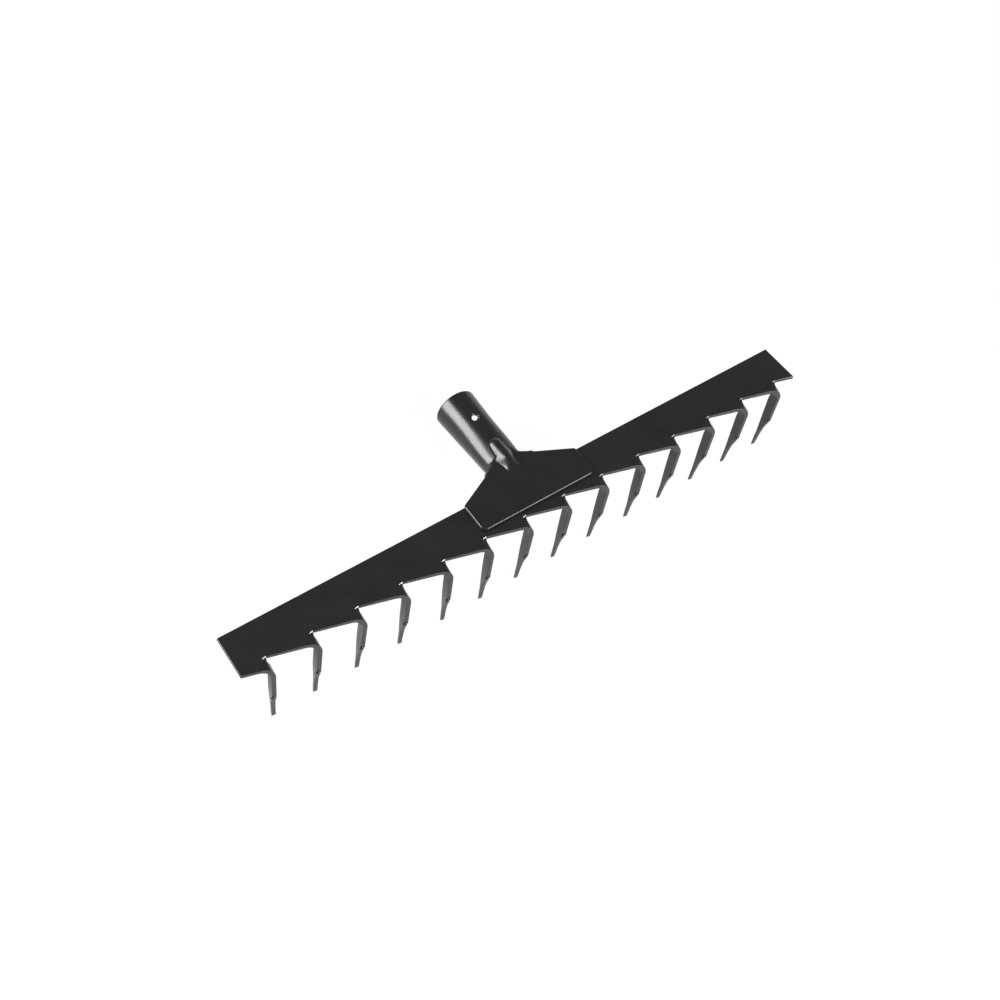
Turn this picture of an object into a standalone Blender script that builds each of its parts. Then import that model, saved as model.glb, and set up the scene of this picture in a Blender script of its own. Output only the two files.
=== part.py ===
"""Head of a garden rake, in metres, +Z up.

The head is two pressings of sheet steel. The blade is a strip that is sheared into slanted
fingers without waste, and each finger is bent down into a tooth. The socket is a thinner
sheet: its flange lies on the blade, the sides of its neck turn down, and its back is rolled
into a tapered tube for the wooden handle. Two short weld runs under the flange join them.

Every piece is modelled in the blade's own coordinates: X runs along the blade from its
middle, Y points to the handle with 0 at the blade's back edge, and Z is 0 on the blade's
upper face. An empty then turns the head the way it lies on the ground by itself, on its
teeth and on the mouth of its socket, with the origin at the bottom centre.
"""

import math

import bmesh
import bpy
import numpy as np
from mathutils import Matrix, Vector

MM = 0.001

# The strip that the blade is sheared from
TOOTH_COUNT = 14
TOOTH_PITCH = 27.0 * MM
LEFT_MARGIN = 15.7 * MM  # from the left end to the corner of the first notch
RIGHT_MARGIN = 13.3 * MM  # from the corner of the last notch to the right end
STRIP_WIDTH = 36.0 * MM
BACK_WIDTH = 22.27 * MM  # from the back edge to the notch corners
BLADE_SHEET = 2.5 * MM
SHEAR_ANGLE = math.radians(16.0)  # of each cut, against the blade's length
SLOT_WIDTH = 1.15 * MM  # how far a bent finger stands in front of its cut, measured along Y
TEAR_REACH = 3.0 * MM  # how far the steel is torn and drawn to the left of the notch corner
TEAR_WIDTH = 2.8 * MM  # and how far in front of the cut that ends, measured along Y
TIP_WIDTH = 0.6 * MM

# The bend that turns a finger into a tooth. Along the finger's front edge it is one wide arc.
# Along its back edge, which is torn from the plate, a tight arc starts it and a wide one ends
# it. The radii are of its inside.
BEND_ANGLE = math.radians(96.0)
FRONT_BEND_RADIUS = 6.0 * MM
FRONT_BEND_START = 6.4 * MM  # before the notch corner
BACK_BEND_RADIUS = 0.5 * MM
BACK_BEND_SHARE = 0.74  # of the angle, turned by the tight arc
BEND_SKEW = math.radians(8.5)  # of the bend's axis, against Y
BEND_STEPS = 8
TIGHT_STEPS = 5  # of the back edge's steps, in the tight arc
TOOTH_BOW = 0.6 * MM  # how far a tooth is bowed inwards at its kink
# How far each tooth is bent past or short of the others, by eye, left to right
TOOTH_LEAN = (-2, 0, 1, 0, -2, -1, 1, 1, 1, -1, 0, 1, 1, 1)

# The flange of the socket, measured from the blade's middle and its back edge
SOCKET_SHEET = 1.7 * MM
SEAT_GAP = 0.3 * MM  # between pieces that touch
FLANGE_HALF_WIDTH = 38.8 * MM
FLANGE_FRONT = 19.5 * MM  # in front of the back edge
FLANGE_FRONT_CORNER = 3.5 * MM
FLANGE_BACK_CORNER = 2.0 * MM
CORNER_STEPS = 5

# The neck, where the flange's sides turn down and close into the tube
NECK_HALF_WIDTH = 16.8 * MM  # where the flange's shoulders end
NECK_START = 10.6 * MM  # behind the back edge
NECK_BEND = 4.9 * MM  # outer radius of the turned sides
NECK_CURVE = 1.9  # how hollow the neck is, seen from above; 1 is straight
NECK_STEPS = 8
NECK_LAP = 1.0 * MM  # the outermost strip of the flange, whose points lead on into the turned sides
WING_END = 22.0 * MM  # the front rims of the turned sides meet at the seam here
CREASE = 1.2 * MM  # over which the neck's flat top changes to the tube's round one

# The rolled tube of the socket
TUBE_DROP = 6.3 * MM  # the tube's axis below the blade's upper face
TUBE_START = 18.0 * MM  # behind the back edge
TUBE_LENGTH = 48.0 * MM
TUBE_START_RADIUS = 11.0 * MM
TUBE_MOUTH_RADIUS = 13.15 * MM
TUBE_STEPS = 3  # along the plain part of the tube
SIDE_STEPS = 13  # across each turned side, from its bend to the sheet's edge
SEAM_WIDTH = 1.0 * MM
TRIM = 1.0 * MM  # the sheet's end that is cut off square to make the mouth

# The rib that is pressed up along the neck, from the flange onto the tube
RIB_HALF_WIDTH = 4.5 * MM
RIB_RISE = 4.1 * MM  # its crest above the flange's upper face
RIB_START = 5.5 * MM  # its ends, measured from the back edge
RIB_END = 28.3 * MM
RIB_RAMP = 11.5 * MM  # the length over which its front end rises
RIB_FULLNESS = 0.75  # of its section; lower is squarer
RIB_STEPS = 5
RIB_FOOT = 1.2  # the first point beside the rib, as a multiple of its half width

# The nail holes, measured from the mouth, and their turn from the tube's top
NAIL_HOLE = 4.5 * MM
TOP_HOLE_FROM_MOUTH = 20.0 * MM
SIDE_HOLE = 5.5 * MM
SIDE_HOLE_FROM_MOUTH = 6.5 * MM
SIDE_HOLE_TURN = math.radians(131.0)
HOLE_SIDES = 16

# The two weld runs in the corner under the flange, along the blade's back edge
WELD_LEG = 2.2 * MM
WELD_LENGTH = 16.0 * MM
WELD_FROM_MIDDLE = 10.0 * MM
WELD_CREST = 0.25  # how far the face of a run swells, as a share of its leg
WELD_STEPS = 4

REACH = 5.0 * MM  # how far a cutter runs past what it cuts
FLAT_ENOUGH = math.radians(0.2)  # faces that meet at less are joined into one

BLADE_LENGTH = LEFT_MARGIN + (TOOTH_COUNT - 1) * TOOTH_PITCH + RIGHT_MARGIN
CUT_SLOPE = math.tan(SHEAR_ANGLE)
FLANGE_TOP = SEAT_GAP + SOCKET_SHEET
TUBE_MOUTH = TUBE_START + TUBE_LENGTH


def clear_scene():
    for thing in list(bpy.data.objects):
        bpy.data.objects.remove(thing, do_unlink=True)


def steel_material(name, colour, roughness, metallic):
    material = bpy.data.materials.new(name)
    material.use_nodes = True
    shader = material.node_tree.nodes["Principled BSDF"]
    shader.inputs["Base Color"].default_value = (*colour, 1.0)
    shader.inputs["Roughness"].default_value = roughness
    shader.inputs["Metallic"].default_value = metallic
    material.diffuse_color = (*colour, 1.0)
    return material


def link_surface(name, bm, material=None):
    mesh = bpy.data.meshes.new(name)
    bm.to_mesh(mesh)
    bm.free()
    thing = bpy.data.objects.new(name, mesh)
    bpy.context.scene.collection.objects.link(thing)
    if material:
        mesh.materials.append(material)
    return thing


def link_object(name, bm, material=None):
    """Links a closed mesh, with its faces turned outwards."""
    bmesh.ops.recalc_face_normals(bm, faces=bm.faces)
    if bm.calc_volume(signed=True) < 0:
        bmesh.ops.reverse_faces(bm, faces=bm.faces)
    return link_surface(name, bm, material)


def cut_away(target, cutter):
    cutter.parent = target
    cutter.hide_render = True
    cutter.display_type = "WIRE"
    modifier = target.modifiers.new(cutter.name, "BOOLEAN")
    modifier.operation = "DIFFERENCE"
    modifier.solver = "EXACT"
    modifier.object = cutter


def smooth_round_faces(thing, angle=math.radians(30.0)):
    thing.data.shade_smooth()
    thing.data.set_sharp_from_angle(angle=angle)


def notch_x(tooth):
    """The X of a notch corner, counted from 0 at the left; -1 is one pitch outside it."""
    return -BLADE_LENGTH / 2 + LEFT_MARGIN + tooth * TOOTH_PITCH


# A finger has two more coordinates, measured from its notch corner: "past" runs across the
# bend's axis, away from the plate, and "along" runs along the bend's axis to the handle.
def to_blade(past, along):
    cos, sin = math.cos(BEND_SKEW), math.sin(BEND_SKEW)
    return past * cos + along * sin, -past * sin + along * cos


def to_finger(u, v):
    cos, sin = math.cos(BEND_SKEW), math.sin(BEND_SKEW)
    return u * cos - v * sin, u * sin + v * cos


def along_at(past, offset):
    """The place along the bend's axis of the point at past on the line v = -slope u - offset."""
    cos, sin = math.cos(BEND_SKEW), math.sin(BEND_SKEW)
    return -(offset + past * (CUT_SLOPE * cos - sin)) / (cos + CUT_SLOPE * sin)


def back_along(past):
    """The finger's back edge, one slot in front of its own cut."""
    return along_at(past, SLOT_WIDTH)


def front_along(past):
    """The finger's front edge: the cut before it, then the strip's edge from kink to tip."""
    kink, tip = kink_and_tip()
    if past <= kink:
        return along_at(past, CUT_SLOPE * TOOTH_PITCH)
    share = (past - kink) / (tip - kink)
    return (1 - share) * front_along(kink) + share * (back_along(tip) - TIP_WIDTH)


def bend_angle(tooth):
    return BEND_ANGLE + math.radians(TOOTH_LEAN[tooth % len(TOOTH_LEAN)])


def kink_and_tip():
    """How far past the notch corner the cut before a finger, and its own, reach the edge."""
    depth = STRIP_WIDTH - BACK_WIDTH
    cut_end = depth / CUT_SLOPE
    return to_finger(cut_end - TOOTH_PITCH, -depth)[0], to_finger(cut_end, -depth - SLOT_WIDTH)[0]


def arc(start, radius, angle, steps):
    """Points after start on an arc that turns down; each is its past, height and heading."""
    past, height, heading = start
    turns = [heading + angle * (step + 1) / steps for step in range(steps)]
    return [
        (
            past + radius * (math.sin(turn) - math.sin(heading)),
            height + radius * (math.cos(turn) - math.cos(heading)),
            turn,
        )
        for turn in turns
    ]


def finger_edges(tooth):
    """The outer face along a finger's front and back edge: past, height, heading and along.

    The flat and the tooth's outer face would meet in a straight line, at "corner".
    """
    angle = bend_angle(tooth)
    outer = FRONT_BEND_RADIUS + BLADE_SHEET
    corner = outer * math.tan(angle / 2) - FRONT_BEND_START
    front = [(-FRONT_BEND_START, 0.0, 0.0)]
    front += arc(front[0], outer, angle, BEND_STEPS)

    tight = BACK_BEND_SHARE * angle
    torn_past, torn_along = to_finger(-TEAR_REACH, CUT_SLOPE * TEAR_REACH - TEAR_WIDTH)
    back = [(torn_past, 0.0, 0.0)]
    back += arc(back[0], BACK_BEND_RADIUS + BLADE_SHEET, tight, TIGHT_STEPS)
    past, height, _ = back[-1]
    off_face = (corner - past) * math.sin(angle) - height * math.cos(angle)
    reach = off_face / math.sin(angle - tight)
    wide = reach / math.tan((angle - tight) / 2)
    back += arc(back[-1], wide, angle - tight, BEND_STEPS - TIGHT_STEPS)

    # The strip is as long along the middle of its sheet as it was before the bend
    bent_length = (outer - BLADE_SHEET / 2) * angle
    shares = [step / BEND_STEPS for step in range(BEND_STEPS + 1)]
    end_along = back_along(bent_length - FRONT_BEND_START)
    front_ways = [front_along(bent_length * share - FRONT_BEND_START) for share in shares]
    torn = [min(1.0, step / TIGHT_STEPS) for step in range(BEND_STEPS + 1)]
    back_ways = [torn_along + (end_along - torn_along) * share for share in torn]
    saved = 2 * outer * math.tan(angle / 2) - bent_length
    for place, bow in zip(kink_and_tip(), (TOOTH_BOW, 0.0)):
        below = place - corner + saved
        point = (corner - bow + below * math.cos(angle), -below * math.sin(angle), angle)
        front.append(point)
        back.append(point)
        front_ways.append(front_along(place))
        back_ways.append(back_along(place))
    return list(zip(front, front_ways)), list(zip(back, back_ways))


def finger_point(bm, tooth, point, along):
    """A point of a finger's outer face, which keeps its heading for the sheet's other side."""
    past, height, heading = point
    u, v = to_blade(past, along)
    vert = bm.verts.new((notch_x(tooth) + u, v - BACK_WIDTH, height))
    vert[bm.verts.layers.float["heading"]] = heading
    return vert


def cut_depth(x, tooth):
    """Y of the cut that starts at a notch corner, at X, no further than the strip's edge."""
    return -min(BACK_WIDTH + CUT_SLOPE * (x - notch_x(tooth)), STRIP_WIDTH)


def outer_faces(bm):
    """The sheet's outer side: one face for the plate, and a row of faces for each finger."""
    half = BLADE_LENGTH / 2
    outline = [bm.verts.new((-half, 0, 0)), bm.verts.new((-half, cut_depth(-half, -1), 0))]
    for tooth in range(TOOTH_COUNT):
        fronts, backs = [
            [finger_point(bm, tooth, *place) for place in edge] for edge in finger_edges(tooth)
        ]
        corner = bm.verts.new((notch_x(tooth), -BACK_WIDTH, 0))
        outline += [fronts[0], backs[0], corner]
        for step in range(len(backs) - 1):
            bm.faces.new((fronts[step], backs[step], backs[step + 1], fronts[step + 1]))
        # The web of torn steel between the notch corner and the tight arc
        for step in range(TIGHT_STEPS):
            bm.faces.new((corner, backs[step], backs[step + 1]))
    outline.append(bm.verts.new((half, cut_depth(half, TOOTH_COUNT - 1), 0)))
    outline.append(bm.verts.new((half, 0, 0)))
    bm.faces.new(outline)


def toothed_blade(material):
    """Makes the outer side of the bent strip, and the inner side one sheet below it."""
    bm = bmesh.new()
    heading = bm.verts.layers.float.new("heading")
    outer_faces(bm)
    bmesh.ops.recalc_face_normals(bm, faces=bm.faces)
    raised = bmesh.ops.extrude_face_region(bm, geom=list(bm.faces))
    for vert in raised["geom"]:
        if isinstance(vert, bmesh.types.BMVert):
            across = Vector((*to_blade(math.sin(vert[heading]), 0), math.cos(vert[heading])))
            vert.co -= BLADE_SHEET * across
    blade = link_object("toothed_blade", bm, material)
    smooth_round_faces(blade)
    return blade


def rounded_outline(corners):
    """The points of an outline whose corners are given as x, y and the radius of their arc."""
    points = []
    for index, (x, y, radius) in enumerate(corners):
        here = Vector((x, y))
        if not radius:
            points.append(here)
            continue
        before = (Vector(corners[index - 1][:2]) - here).normalized()
        after = (Vector(corners[(index + 1) % len(corners)][:2]) - here).normalized()
        half = before.angle(after) / 2
        centre = here + (before + after).normalized() * radius / math.sin(half)
        start = here + before * radius / math.tan(half) - centre
        sweep = start.angle_signed(here + after * radius / math.tan(half) - centre)
        for step in range(CORNER_STEPS + 1):
            turn = Matrix.Rotation(-sweep * step / CORNER_STEPS, 2)
            points.append(centre + turn @ start)
    return points


def mouth_cutter():
    """A block whose front face lies in the plane of the tube's mouth."""
    bm = bmesh.new()
    side = 2 * (TUBE_MOUTH_RADIUS + REACH)
    place = Matrix.Translation((0, TUBE_MOUTH + side / 2, -TUBE_DROP))
    bmesh.ops.create_cube(bm, size=side, matrix=place)
    return link_object("mouth_trim", bm)


def hole_cutter(name, from_mouth, turn, diameter):
    """A drill from the tube's axis out through its wall, turned from the top towards +X."""
    bm = bmesh.new()
    length = TUBE_MOUTH_RADIUS + REACH
    place = (
        Matrix.Translation((0, TUBE_MOUTH - from_mouth, -TUBE_DROP))
        @ Matrix.Rotation(turn, 4, "Y")
        @ Matrix.Translation((0, 0, length / 2))
    )
    bmesh.ops.create_cone(
        bm, cap_ends=True, segments=HOLE_SIDES, radius1=diameter / 2,
        radius2=diameter / 2, depth=length, matrix=place,
    )
    return link_object(name, bm)


def tube_radius(y):
    share = (y - TUBE_START) / TUBE_LENGTH
    return TUBE_START_RADIUS + share * (TUBE_MOUTH_RADIUS - TUBE_START_RADIUS)


def section_at(y):
    """The sheet's section behind the flange: half its flat top, its bends' radius, its height."""
    if y > TUBE_START:
        radius = tube_radius(y)
        return 0.0, radius, radius - TUBE_DROP
    share = (y - NECK_START) / (TUBE_START - NECK_START)
    narrow = TUBE_START_RADIUS - NECK_BEND
    flat = narrow + (NECK_HALF_WIDTH - narrow) * (1 - share) ** NECK_CURVE
    return flat, NECK_BEND, FLANGE_TOP


def along_section(way, flat, bend, top):
    """X and Z at a way along a section: flat top, bend, upright side, and half-round bottom."""
    if way <= flat:
        return way, top
    turn = (way - flat) / bend
    if turn <= math.pi / 2:
        return flat + bend * math.sin(turn), top - bend * (1 - math.cos(turn))
    down = way - flat - bend * math.pi / 2
    side = top - bend + TUBE_DROP
    if down <= side:
        return flat + bend, top - bend - down
    radius = flat + bend
    turn = (down - side) / radius
    return radius * math.cos(turn), -TUBE_DROP - radius * math.sin(turn)


def half_sheet(y):
    """The way along the section from the middle to the sheet's edge, behind the flange."""
    flat, bend, top = section_at(y)
    closed = flat + bend * math.pi / 2 + top - bend + TUBE_DROP
    closed += (flat + bend) * math.pi / 2 - SEAM_WIDTH / 2
    share = min(1.0, (y - NECK_START) / (WING_END - NECK_START))
    return NECK_HALF_WIDTH + (closed - NECK_HALF_WIDTH) * (1 - math.cos(share * math.pi / 2))


def rib_rise(way, y, top):
    """How far the rib lifts the sheet; its back end is round, and its front end is a ramp."""
    past_end = max(0.0, y - (RIB_END - RIB_HALF_WIDTH))
    from_crest = math.hypot(way, past_end) / RIB_HALF_WIDTH
    ramp = min(1.0, (y - RIB_START) / RIB_RAMP)
    if from_crest >= 1 or ramp <= 0:
        return 0.0
    crest = FLANGE_TOP + RIB_RISE * ramp ** 2 * (3 - 2 * ramp) - top
    return crest * math.cos(from_crest * math.pi / 2) ** RIB_FULLNESS


def steps_between(start, end, count):
    """Equal steps after start, up to and with end."""
    return [start + (end - start) * (step + 1) / count for step in range(count)]


def socket_rows():
    """Each row of the sheet's points, from the front: its Y, half length and section."""
    right = rounded_outline([
        (0, -FLANGE_FRONT, 0),
        (FLANGE_HALF_WIDTH, -FLANGE_FRONT, FLANGE_FRONT_CORNER),
        (FLANGE_HALF_WIDTH, 0, FLANGE_BACK_CORNER),
        (NECK_HALF_WIDTH, NECK_START, 0),
    ])
    shoulder, neck = right[-2:]
    ramp = [RIB_START] + steps_between(RIB_START, NECK_START, RIB_STEPS)[:-1]
    shares = [(y - shoulder.y) / (neck.y - shoulder.y) for y in ramp]
    flange = right[1:-1] + [shoulder.lerp(neck, share) for share in shares]
    rows = [(y, x, (x, NECK_BEND, FLANGE_TOP)) for x, y in flange]
    crease = (TUBE_START - CREASE / 2, TUBE_START + CREASE / 2)
    rib_tail = RIB_END - RIB_HALF_WIDTH
    places = [NECK_START] + steps_between(NECK_START, crease[0], NECK_STEPS)
    places += [crease[1]] + steps_between(crease[1], WING_END, 2)
    places += [rib_tail] + steps_between(rib_tail, RIB_END, RIB_STEPS)
    places += steps_between(RIB_END, TUBE_MOUTH + TRIM, TUBE_STEPS)
    return rows + [(y, half_sheet(y), section_at(y)) for y in places]


def ways_across(half, flat):
    """Ways along a section from the middle: over the rib, to where the side turns, to the edge."""
    over_rib = [RIB_HALF_WIDTH * step / RIB_STEPS for step in range(RIB_STEPS + 1)]
    hinge = max(RIB_HALF_WIDTH * RIB_FOOT, min(flat, half - NECK_LAP))
    return over_rib + [hinge] + steps_between(hinge, half, SIDE_STEPS)


def socket_surface():
    """The outer face of the whole sheet, row by row from the flange to the tube's mouth."""
    bm = bmesh.new()
    previous = None
    for y, half, section in socket_rows():
        points = []
        for way in ways_across(half, section[0]):
            x, z = along_section(way, *section)
            points.append((x, y, z + rib_rise(way, y, section[2])))
        mirrored = [(-x, y, z) for x, y, z in reversed(points[1:])]
        row = [bm.verts.new(point) for point in mirrored + points]
        if previous:
            for index in range(len(row) - 1):
                bm.faces.new((previous[index], previous[index + 1], row[index + 1], row[index]))
        previous = row
    bmesh.ops.dissolve_limit(bm, angle_limit=FLAT_ENOUGH, verts=bm.verts, edges=bm.edges)
    return bm


def handle_socket(material):
    """Flange, neck and tube as one sheet, with the nail holes drilled through it."""
    socket = link_surface("handle_socket", socket_surface(), material)
    sheet = socket.modifiers.new("sheet", "SOLIDIFY")
    sheet.thickness = SOCKET_SHEET
    sheet.offset = -1
    sheet.use_even_offset = True
    sheet.use_quality_normals = True
    cut_away(socket, mouth_cutter())
    cut_away(socket, hole_cutter("top_hole", TOP_HOLE_FROM_MOUTH, 0, NAIL_HOLE))
    cut_away(socket, hole_cutter("side_hole", SIDE_HOLE_FROM_MOUTH, SIDE_HOLE_TURN, SIDE_HOLE))
    smooth_round_faces(socket)
    return socket


def weld_section():
    """The run's section in Y and Z: two legs along the steel, and a face that swells."""
    points = [Vector((0, 0))]
    for step in range(WELD_STEPS + 1):
        share = step / WELD_STEPS
        swell = WELD_CREST * WELD_LEG * math.sin(math.pi * share)
        flat = Vector((share, share - 1)) * WELD_LEG
        points.append(flat + Vector((1, -1)).normalized() * swell)
    return points


def weld_run(name, side, material):
    """A run in the corner between the blade's back edge and the flange's underside."""
    bm = bmesh.new()
    start = WELD_FROM_MIDDLE + WELD_LENGTH / 2
    rings = []
    for share, size in ((-0.5, 0.5), (-0.42, 0.85), (-0.3, 1), (0.3, 1), (0.42, 0.85), (0.5, 0.5)):
        x = side * start + share * WELD_LENGTH
        ring = [(x, SEAT_GAP + p.x * size, p.y * size) for p in weld_section()]
        rings.append([bm.verts.new(point) for point in ring])
    for before, after in zip(rings, rings[1:]):
        for index in range(len(before)):
            other = (index + 1) % len(before)
            bm.faces.new((before[index], before[other], after[other], after[index]))
    bm.faces.new(rings[0])
    bm.faces.new(rings[-1])
    run = link_object(name, bm, material)
    smooth_round_faces(run)
    return run


def points_of(thing):
    evaluated = thing.evaluated_get(bpy.context.evaluated_depsgraph_get())
    mesh = evaluated.to_mesh()
    points = np.empty(len(mesh.vertices) * 3)
    mesh.vertices.foreach_get("co", points)
    evaluated.to_mesh_clear()
    return points.reshape(-1, 3)


def turned_about_x(points, turn):
    cos, sin = math.cos(turn), math.sin(turn)
    y, z = points[:, 1], points[:, 2]
    return np.stack([points[:, 0], y * cos - z * sin, y * sin + z * cos], axis=1)


def lying_turn(blade, socket):
    """The turn about X at which the lowest tooth and the mouth of the socket are level."""
    low, high = -math.pi / 3, 0.0
    for _ in range(50):
        turn = (low + high) / 2
        tooth = turned_about_x(blade, turn)[:, 2].min()
        mouth = turned_about_x(socket, turn)[:, 2].min()
        if tooth > mouth:
            low = turn
        else:
            high = turn
    return (low + high) / 2


def lay_down(pieces):
    """Parents the pieces to an empty that lays the head on the ground, about the origin."""
    blade, socket = points_of(pieces[0]), points_of(pieces[1])
    turn = lying_turn(blade, socket)
    lying = turned_about_x(np.concatenate([blade, socket]), turn)
    low, high = lying.min(axis=0), lying.max(axis=0)
    middle = (low + high) / 2
    empty = bpy.data.objects.new("lying_head", None)
    bpy.context.scene.collection.objects.link(empty)
    empty.location = (-middle[0], -middle[1], -low[2])
    empty.rotation_euler = (turn, 0, 0)
    for piece in pieces:
        piece.parent = empty
    print(f"turned {math.degrees(turn):.2f} degrees, size {(high - low) / MM} mm")


def main():
    clear_scene()
    blade_paint = steel_material("blade_paint", (0.024, 0.024, 0.025), 0.45, 0.0)
    socket_paint = steel_material("socket_paint", (0.026, 0.026, 0.027), 0.3, 0.0)
    weld_paint = steel_material("weld_paint", (0.022, 0.022, 0.023), 0.5, 0.0)
    lay_down([
        toothed_blade(blade_paint),
        handle_socket(socket_paint),
        weld_run("weld_run_left", -1, weld_paint),
        weld_run("weld_run_right", 1, weld_paint),
    ])


main()
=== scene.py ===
# %% [markdown]
# # The head of a garden rake
#
# The head is two pressings of sheet steel under black paint: a blade whose front edge is sheared
# and bent into teeth, and a socket that lies on it and is rolled round the handle. This script
# loads the finished solids as a fixed frame, makes finer pieces that take their places, and gives
# every surface its paint. The head lies on a pale floor, on the tips of its teeth and on the
# mouth of its socket, and a camera looks down on it from the front left.

# %% Load the solids
import math

import bmesh
import bpy
from mathutils import Matrix, Vector


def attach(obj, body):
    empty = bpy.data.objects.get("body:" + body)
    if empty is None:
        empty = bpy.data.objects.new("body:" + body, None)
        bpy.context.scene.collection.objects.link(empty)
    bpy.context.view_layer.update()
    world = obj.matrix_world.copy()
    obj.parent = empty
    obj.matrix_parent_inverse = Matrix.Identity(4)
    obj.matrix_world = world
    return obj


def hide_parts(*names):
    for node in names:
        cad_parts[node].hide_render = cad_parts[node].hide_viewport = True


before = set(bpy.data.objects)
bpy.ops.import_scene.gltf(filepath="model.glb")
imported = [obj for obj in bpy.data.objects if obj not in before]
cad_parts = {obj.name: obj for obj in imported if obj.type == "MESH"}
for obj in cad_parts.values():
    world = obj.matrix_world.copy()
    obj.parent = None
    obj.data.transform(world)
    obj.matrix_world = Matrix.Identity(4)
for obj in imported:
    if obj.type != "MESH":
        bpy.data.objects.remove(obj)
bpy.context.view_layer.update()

MM = 0.001
print("solids:", sorted(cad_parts))

# %% [markdown]
# ## The camera
#
# A camera is placed by three things: where it stands, where it looks, and how narrow its lens
# is. The place and the turn are written as numbers here, because a view from 0.65 m on a long
# thin object shows strong perspective, and a rough guess would bend the row of teeth.

# %% Camera
IMAGE_SIDE = 1000
FOCAL_PIXELS = 1196.04
SENSOR_WIDTH = 36.0  # in mm
CLIP_START = 0.01
CLIP_END = 50.0
CAMERA_PLACE = Vector((-0.27433, -0.10153, 0.65269))
CAMERA_RIGHT = Vector((0.81578, -0.51180, 0.26938))
CAMERA_UP = Vector((0.43320, 0.84930, 0.30171))


def add_camera():
    data = bpy.data.cameras.new("camera")
    data.sensor_width = SENSOR_WIDTH
    data.lens = SENSOR_WIDTH * FOCAL_PIXELS / IMAGE_SIDE
    data.clip_start = CLIP_START
    data.clip_end = CLIP_END
    camera = bpy.data.objects.new("camera", data)
    bpy.context.scene.collection.objects.link(camera)
    right = CAMERA_RIGHT.normalized()
    back = right.cross(CAMERA_UP).normalized()
    up = back.cross(right)
    turn = Matrix((right, up, back)).transposed()
    camera.matrix_world = Matrix.Translation(CAMERA_PLACE) @ turn.to_4x4()
    bpy.context.scene.camera = camera
    return camera


camera = add_camera()
print("camera lens in mm:", round(camera.data.lens, 2))

# %% [markdown]
# ## The head's own frame
#
# The head lies tilted, but its measures are easiest along the steel: X along the blade, Y to the
# handle and Z up from the blade's upper face, all from the middle of its back edge. Each piece is
# made in that frame, and one matrix then lays its points down. The pieces' objects stay at the
# origin, so a paint that reads Object coordinates doesn't slide.

# %% Frame of the head
HEAD_TURN = math.radians(-19.354198)
HEAD_PLACE = Vector((0, -9.1997, 40.2147)) * MM
HEAD_TO_WORLD = Matrix.Translation(HEAD_PLACE) @ Matrix.Rotation(HEAD_TURN, 4, "X")
print("the head leans by", round(math.degrees(HEAD_TURN), 2), "degrees")

# %% [markdown]
# ## Shader maths as Python
#
# A procedural paint is a small formula: noise times a strength plus a level. Linking Math
# nodes by hand hides the formula, so one class wraps a socket and lets Python's own operators
# add the nodes.

# %% A class for node values


class Value:
    """A number that a material works out at every point of a surface."""

    def __init__(self, tree, socket):
        self.tree = tree
        self.socket = socket

    def _math(self, operation, *terms):
        node = self.tree.nodes.new("ShaderNodeMath")
        node.operation = operation
        for socket, term in zip(node.inputs, terms):
            if isinstance(term, Value):
                self.tree.links.new(term.socket, socket)
            else:
                socket.default_value = term
        return Value(self.tree, node.outputs[0])

    def __add__(self, other):
        return self._math("ADD", self, other)

    def __sub__(self, other):
        return self._math("SUBTRACT", self, other)

    def __rsub__(self, other):
        return self._math("SUBTRACT", other, self)

    def __mul__(self, other):
        return self._math("MULTIPLY", self, other)

    def above(self, level, softness):
        """0 below a level and 1 above it, with a soft step of this width between."""
        raised = (self - (level - softness / 2)) * (1 / softness)
        return raised._math("MINIMUM", raised._math("MAXIMUM", raised, 0.0), 1.0)


# %% A class for finishes


class Finish:
    """A material and the nodes that make it."""

    def __init__(self, name):
        self.material = bpy.data.materials.new(name)
        self.material.use_nodes = True
        self.tree = self.material.node_tree
        self.shader = self.tree.nodes["Principled BSDF"]

    def node(self, kind, settings=None, sockets=None):
        made = self.tree.nodes.new("ShaderNode" + kind)
        for name, value in (settings or {}).items():
            setattr(made, name, value)
        for name, value in (sockets or {}).items():
            self.plug(made.inputs[name], value)
        return made

    def plug(self, socket, value):
        if isinstance(value, Value):
            self.tree.links.new(value.socket, socket)
        elif isinstance(value, bpy.types.NodeSocket):
            self.tree.links.new(value, socket)
        else:
            socket.default_value = value

    def value(self, node, output=0):
        return Value(self.tree, node.outputs[output])

    def attribute(self, name):
        """A number that the piece's own mesh carries."""
        return self.value(self.node("Attribute", {"attribute_name": name}), "Fac")

    def noise(self, *sizes, detail):
        """Noise from 0 to 1 whose lumps have these sizes along the head's own axes, in mm."""
        sizes = sizes * 3 if len(sizes) == 1 else sizes
        place = self.node("TexCoord").outputs["Object"]
        scale = [size * MM for size in sizes]
        mapped = self.node(
            "Mapping",
            {"vector_type": "TEXTURE"},
            {"Vector": place, "Rotation": (HEAD_TURN, 0, 0), "Scale": scale},
        )
        made = self.node(
            "TexNoise", sockets={"Vector": mapped.outputs[0], "Scale": 1.0, "Detail": detail}
        )
        return self.value(made)

    def mix(self, factor, first, second):
        """A colour between two others, each of which is three numbers or a socket."""
        mixed = self.node("Mix", {"data_type": "RGBA"})
        self.plug(mixed.inputs[0], factor)
        for socket, colour in ((mixed.inputs[6], first), (mixed.inputs[7], second)):
            self.plug(socket, (*colour, 1.0) if isinstance(colour, tuple) else colour)
        return mixed.outputs[2]

    def set(self, **sockets):
        for name, value in sockets.items():
            self.plug(self.shader.inputs[name.replace("_", " ")], value)

    def bump(self, height, distance):
        """Lets a height from 0 to 1 raise the surface by up to a distance."""
        made = self.node("Bump", sockets={"Height": height, "Distance": distance, "Strength": 1.0})
        self.set(Normal=made.outputs[0])


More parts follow.
